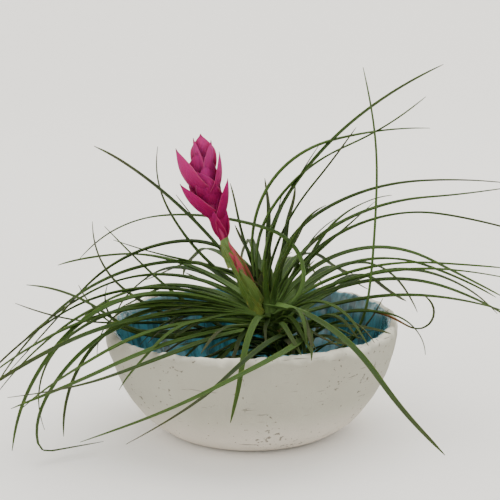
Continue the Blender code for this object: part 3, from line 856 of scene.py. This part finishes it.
def sheaths(draw, count, first, reach, root_lean, *ranges):
    """The leaf bases that clasp the stem, each a golden angle round from the last one."""
    lines = []
    for i in range(count):
        length, width, *leans = [draw.uniform(*span) for span in ranges]
        place = first + reach * i / (count - 1)
        row = (place, i * GOLDEN_ANGLE, length, width, root_lean, *leans, draw.random())
        lines.append(bract(STEM_ROUTE, row, SHEATH_OUTLINE))
    return lines


def spike(base, steps, widths, tone, outline, rows):
    """A smooth stalk through a few steps from its base, in mm, and the bracts that stand on it."""
    route = relaxed(spaced([base + Vector(step) for step in steps], STALK_STEPS), STALK_EASING)
    route = spaced(route, STEM_STEPS)
    return [stem_midrib(route, widths, tone)] + [bract(route, row, outline) for row in rows]


def blade_values(add, *names):
    """The place of each point of a blade, and what the blade tree stored there under some names."""
    place = add("TexCoord")["Object"]
    return [place] + [add("Attribute", attribute_name=name)["Fac"] for name in names]


def ribs(add, across, turn):
    """Fine ribs along a blade, as a wave that turns by so many radians from its middle to its edge."""
    angle = add("Math", across, turn, operation="MULTIPLY")[0]
    return add("Math", angle, operation="SINE")[0]


def leaf_material(settings):
    """Living leaf, dark green under a thin coat of silvery scales: satin, never glossy."""
    material, add = new_material("scaly green leaf", {
        "Roughness": 0.56, "Specular IOR Level": 0.08, "Subsurface Weight": 0.10, "Subsurface Scale": 0.002,
        "Subsurface Radius": (0.8, 1.0, 0.3)})
    place, along, across, tone, age = blade_values(add, "along", "across", "tone", "age")
    blotch = add("TexNoise", {"Vector": place, "Scale": 90, "Detail": 3})[0]
    mood = add("Math", blotch, 0.7, tone, operation="MULTIPLY_ADD")[0]
    away = add("Math", across, operation="ABSOLUTE")[0]
    dark = add("MapRange", {0: tone, 3: 1.0, 4: 0.25})[0]
    # Scales about 0.3 mm across, drawn at 0.5 mm so that they show, over the ribs of the leaf
    scales = add("TexVoronoi", {"Vector": place, "Scale": 2000})["Distance"]
    dust = add("MapRange", scales, 0.5, 0.1)[0]
    relief = add("Math", ribs(add, across, 19.0), 0.3, dust, operation="MULTIPLY_ADD")[0]
    # Young and old greens, a painted highlight along the thin margins, a pale sheath, a thin tip that dries
    # dark, most of all on a dark leaf, and the red of age
    return painted(material, settings.green_deep, [
        (mood, 0.35, 1.35, 1, settings.green_light),
        (away, 0.72, 1, 0.45, "#4E6228"),
        # The pale sheath is partly the leaf base's own colour, partly painted light in the shaded heart
        (along, 0.30, 0, 1, "#68864A", "soft"),
        (along, 0.50, 0.95, dark, "#383A26", "soft"),
        (age, 0, 1, 1, "#8A4A2C"),
        (dust, 0, 1, 0.04, "#A7B08C"),
    ], relief, 0.35, 0.0002)


def dry_material():
    """Dead leaf bases: papery, straw to brown, with fine fibres."""
    material, add = new_material("dry leaf base", {"Roughness": 0.7, "Specular IOR Level": 0.25})
    place, along, across = blade_values(add, "along", "across")
    blotch = add("TexNoise", {"Vector": place, "Scale": 160, "Detail": 4})[0]
    # A little green is left towards the tips
    return painted(material, "#5B4A2E", [
        (blotch, 0, 1, 1, "#A08B58"),
        (along, 0.3, 1, 0.5, "#5F6B33"),
    ], ribs(add, across, 42.0), 0.5, 0.0002)


def bract_material(settings):
    """Flower bract: waxy and satin, magenta-pink, deeper at its base and pale along its thin edge."""
    material, add = new_material("pink bract", {
        "Roughness": 0.6, "Specular IOR Level": 0.06, "Subsurface Weight": 0.15, "Subsurface Scale": 0.003})
    place, along, across = blade_values(add, "along", "across")
    height = add("SeparateXYZ", place)["Z"]
    cloud = add("TexNoise", {"Vector": place, "Scale": 150, "Detail": 3})[0]
    mood = add("Math", cloud, 0.6, along, operation="MULTIPLY_ADD")[0]
    away = add("Math", across, operation="ABSOLUTE")[0]
    # The youngest bracts, at the top, are paler: painted light from above. Every point dries dark
    return painted(material, settings.pink_base, [
        (mood, 0.3, 1.3, 1, settings.pink_tip),
        (height, 0.138, 0.166, 0.4, "#B24688"),
        (away, 0.93, 1, 0.35, "#C4557F"),
        (along, 0.90, 0.98, 0.7, "#4A1A34"),
    ], ribs(add, across, 38.0), 0.25, 0.0002)


def stalk_material(settings):
    """Sheathing bract of the stalk: leaf green, and flushed with red where the light reaches it."""
    material, add = new_material("flushed stalk bract", {
        "Roughness": 0.45, "Specular IOR Level": 0.4, "Subsurface Weight": 0.1, "Subsurface Scale": 0.002})
    place, along, across, tone = blade_values(add, "along", "across", "tone")
    cloud = add("TexNoise", {"Vector": place, "Scale": 190, "Detail": 3})[0]
    patch = add("Math", cloud, 0.5, operation="MULTIPLY")[0]
    # Only the right side of the stalk is flushed: this grows from left to right of its middle line
    sun = add("VectorMath", place, (300, 0, 138), operation="DOT_PRODUCT")["Value"]
    sun = add("Math", sun, 9.8, operation="SUBTRACT")[0]
    flush = add("Math", tone, sun, patch, operation="MULTIPLY_ADD")[0]
    return painted(material, "#566E30", [
        (flush, 0.60, 0.90, 1, settings.stalk_red, "soft"),
        (along, 0.30, 0, 0.75, "#7F8A3E"),
    ], ribs(add, across, 30.0), 0.3, 0.0002)


# Settings

def colour_setting(name, where, code):
    """A setting that holds a colour."""
    return StringProperty(name=name, description="sRGB colour of " + where, default=code)


class BowlSettings(PropertyGroup):
    clay_light: colour_setting("Clay, Light", "the rubbed clay", "#A9A89C")
    clay_shade: colour_setting("Clay, Shade", "the clouds in the clay", "#959284")
    glaze_deep: colour_setting("Glaze, Deep", "the glaze where it is thick", "#1C484E")
    glaze_light: colour_setting("Glaze, Light", "the glaze where it is thin", "#3E8291")
    grit_size: FloatProperty(name="Largest Grit", description="Radius of the largest grain",
                             default=0.00055, precision=5, subtype="DISTANCE", unit="LENGTH")
    grit_density: FloatProperty(name="Grit", description="Grains on a square metre of wall",
                                default=4200, min=0)


class LeafSettings(PropertyGroup):
    green_deep: colour_setting("Green, Deep", "a dark leaf", "#1C2E10")
    green_light: colour_setting("Green, Light", "a young leaf", "#364E1E")
    sides: IntProperty(name="Sides", description="Faces around each leaf", default=10, min=6, max=24)


class FlowerSettings(PropertyGroup):
    pink_tip: colour_setting("Pink, Tip", "a bract's upper part", "#8E0E58")
    pink_base: colour_setting("Pink, Base", "a bract's base", "#760C38")
    stalk_red: colour_setting("Stalk Red", "the stalk's flush", "#A63B4A")
    sides: IntProperty(name="Sides", description="Faces around each bract", default=22, min=8, max=40)


class StageSettings(PropertyGroup):
    lens: FloatProperty(name="Lens", description="Focal length", default=106, unit="CAMERA")
    floor_colour: colour_setting("Floor", "the floor", "#FAF9F7")
    sky: FloatProperty(name="Sky", description="Strength of the light from all sides", default=1.35, min=0)
    window: FloatProperty(name="Window", description="Power of the large light", default=38, unit="POWER")
    fill: FloatProperty(name="Fill", description="Power of the soft light in front", default=14, unit="POWER")


# Operators

class TILLANDSIA_OT_bowl(Operator):
    """Make the clay bowl"""
    bl_idname = "tillandsia.bowl"
    bl_label = "Bowl"

    def execute(self, context):
        clay = clay_material(context.scene.tillandsia_bowl)
        new_piece("bowl_body", bowl_mesh(), clay, "bowl_clay", "bowl")
        return {"FINISHED"}


class TILLANDSIA_OT_glaze(Operator):
    """Make the glaze that coats the inside of the bowl"""
    bl_idname = "tillandsia.glaze"
    bl_label = "Glaze"

    def execute(self, context):
        glaze = glaze_material(context.scene.tillandsia_bowl)
        new_piece("glaze_coat", glaze_mesh(), glaze, "bowl_clay", "bowl")
        return {"FINISHED"}


class TILLANDSIA_OT_grit(Operator):
    """Scatter dark grit over the bowl's outer wall"""
    bl_idname = "tillandsia.grit"
    bl_label = "Grit"

    def execute(self, context):
        settings = context.scene.tillandsia_bowl
        grit = grit_material()
        wall = bowl_mesh()
        bm = bmesh.new()
        bm.from_mesh(wall)
        inner = []
        for face in bm.faces:
            middle = face.calc_center_median()
            if middle.z < GRIT_START * MM or face.normal.xy.dot(middle.xy) < 0:
                inner.append(face)
        bmesh.ops.delete(bm, geom=inner, context="FACES")
        bm.to_mesh(wall)
        bm.free()
        values = {"Grains per Square Metre": settings.grit_density, "Largest Grain": settings.grit_size,
                  "Finish": grit}
        new_piece("clay_grit", baked(wall, grit_tree(), values, "clay_grit"), grit, "bowl_clay", "bowl")
        return {"FINISHED"}


class TILLANDSIA_OT_leaves(Operator):
    """Make the leaves along their midribs"""
    bl_idname = "tillandsia.leaves"
    bl_label = "Leaves"

    def execute(self, context):
        settings = context.scene.tillandsia_leaves
        draw, sway, waver = (random.Random(SEED + step) for step in (0, 3, 5))
        rows = [*HEART_LEAVES, *RIGHT_LEAVES, *LEFT_LEAVES, *FRONT_LEAVES]
        rows += fan(draw, *BACK_LEAVES) + low_leaves(draw, *LOW_LEAVES)
        rows += fan(draw, *INNER_LEAVES) + fan(draw, *FILL_LEAVES)
        lines = sheaths(draw, *GREEN_SHEATHS)
        for row in rows:
            age = OLD_AGE if row is OLD_LEAF else 0.0
            lines.append(leaf_midrib(swayed(row, sway), row in HEART_LEAVES, waver, age))
        leaf = leaf_material(settings)
        blade_piece("leaf_blades", lines, leaf, settings.sides, 1.4, "green_leaf", "leafy_stem")
        return {"FINISHED"}


class TILLANDSIA_OT_stem(Operator):
    """Make the stem and the dry leaf bases that clasp it"""
    bl_idname = "tillandsia.stem"
    bl_label = "Stem"

    def execute(self, context):
        lines = [stem_midrib(STEM_ROUTE, STEM_WIDTHS, 0.0), *sheaths(random.Random(SEED + 6), *DRY_SHEATHS)]
        blade_piece("stem_sheaths", lines, dry_material(), 14, 1.7, "green_leaf", "leafy_stem")
        return {"FINISHED"}


class TILLANDSIA_OT_stalk(Operator):
    """Make the flower stalk and its sheathing bracts"""
    bl_idname = "tillandsia.stalk"
    bl_label = "Flower Stalk"

    def execute(self, context):
        settings = context.scene.tillandsia_flower
        lines = spike(STALK_BASE, STALK_ROUTE, STALK_WIDTHS, 0.1, SHEATH_OUTLINE, STALK_BRACTS)
        flushed = stalk_material(settings)
        blade_piece("stalk_bracts", lines, flushed, settings.sides, 1.7, "stalk_bract", "flower_stalk")
        return {"FINISHED"}


class TILLANDSIA_OT_head(Operator):
    """Make the flower head from its bracts"""
    bl_idname = "tillandsia.head"
    bl_label = "Flower Head"

    def execute(self, context):
        settings = context.scene.tillandsia_flower
        rows = [(*row, 0.0) for row in HEAD_BRACTS]
        lines = spike(HEAD_BASE, HEAD_ROUTE, HEAD_WIDTHS, 0.0, BRACT_OUTLINE, rows)
        pink = bract_material(settings)
        blade_piece("head_bracts", lines, pink, settings.sides, 1.8, "pink_bract", "flower_head")
        return {"FINISHED"}


class TILLANDSIA_OT_stage(Operator):
    """Set up the pale floor, the soft light and the camera"""
    bl_idname = "tillandsia.stage"
    bl_label = "Stage"

    def execute(self, context):
        settings = context.scene.tillandsia_stage
        sweep = [radians(15 * i) for i in range(7)]
        steps = [(FLOOR_RADIUS + SWEEP * sin(a), SWEEP * (1 - cos(a))) for a in sweep]
        steps.append((FLOOR_RADIUS + SWEEP, WALL_TOP))
        rows = [[toward(angle) * radius + UP * height for angle in AROUND] for radius, height in steps]
        mesh = turned_mesh("floor", [[Vector()], *rows])
        floor = new_object("floor", mesh)
        mesh.materials.append(new_material("matt white paper", {
            "Base Color": linear(settings.floor_colour), "Roughness": 0.9, "Specular IOR Level": 0.2})[0])

        world = bpy.data.worlds.new("soft daylight")
        world.use_nodes = True
        sky = world.node_tree.nodes["Background"].inputs
        sky["Color"].default_value = linear("#F3F2EF")
        sky["Strength"].default_value = settings.sky
        context.scene.world = world

        for name, place in LAMPS.items():
            light = bpy.data.lights.new(name, "AREA")
            light.energy = getattr(settings, name)
            light.size = LAMP_SIZE
            light.color = linear("#FFFBF2")[:3]
            lamp = new_object(name, light)
            lamp.location = place
            lamp.rotation_euler = (LAMP_AIM - lamp.location).to_track_quat("-Z", "Y").to_euler()

        view = bpy.data.cameras.new("camera")
        view.lens = settings.lens
        camera = new_object("camera", view)
        camera.location = CAMERA_PLACE
        camera.rotation_euler = (pi / 2 - CAMERA_PITCH, 0, 0)
        context.scene.camera = camera
        return {"FINISHED"}


class TILLANDSIA_PT_pieces(Panel):
    """The plant's pieces and their settings"""
    bl_idname = "TILLANDSIA_PT_pieces"
    bl_label = "Tillandsia"
    bl_space_type = "VIEW_3D"
    bl_region_type = "UI"
    bl_category = "Tillandsia"

    def draw(self, context):
        layout = self.layout
        for operator in PIECES:
            layout.operator(operator.bl_idname)
        for name, group in SETTINGS.items():
            box = layout.box()
            for field in group.__annotations__:
                box.prop(getattr(context.scene, name), field)


PIECES = (TILLANDSIA_OT_stage, TILLANDSIA_OT_bowl, TILLANDSIA_OT_glaze, TILLANDSIA_OT_grit,
          TILLANDSIA_OT_stem, TILLANDSIA_OT_leaves, TILLANDSIA_OT_stalk, TILLANDSIA_OT_head)
SETTINGS = {"tillandsia_bowl": BowlSettings, "tillandsia_leaves": LeafSettings,
            "tillandsia_flower": FlowerSettings, "tillandsia_stage": StageSettings}
CLASSES = (*SETTINGS.values(), *PIECES, TILLANDSIA_PT_pieces)


def register():
    for cls in CLASSES:
        bpy.utils.register_class(cls)
    for name, group in SETTINGS.items():
        setattr(Scene, name, PointerProperty(type=group))


def unregister():
    for name in SETTINGS:
        delattr(Scene, name)
    for cls in reversed(CLASSES):
        bpy.utils.unregister_class(cls)


def main():
    register()
    for operator in PIECES:
        getattr(bpy.ops.tillandsia, operator.bl_idname.split(".")[1])()


if __name__ == "__main__":
    main()
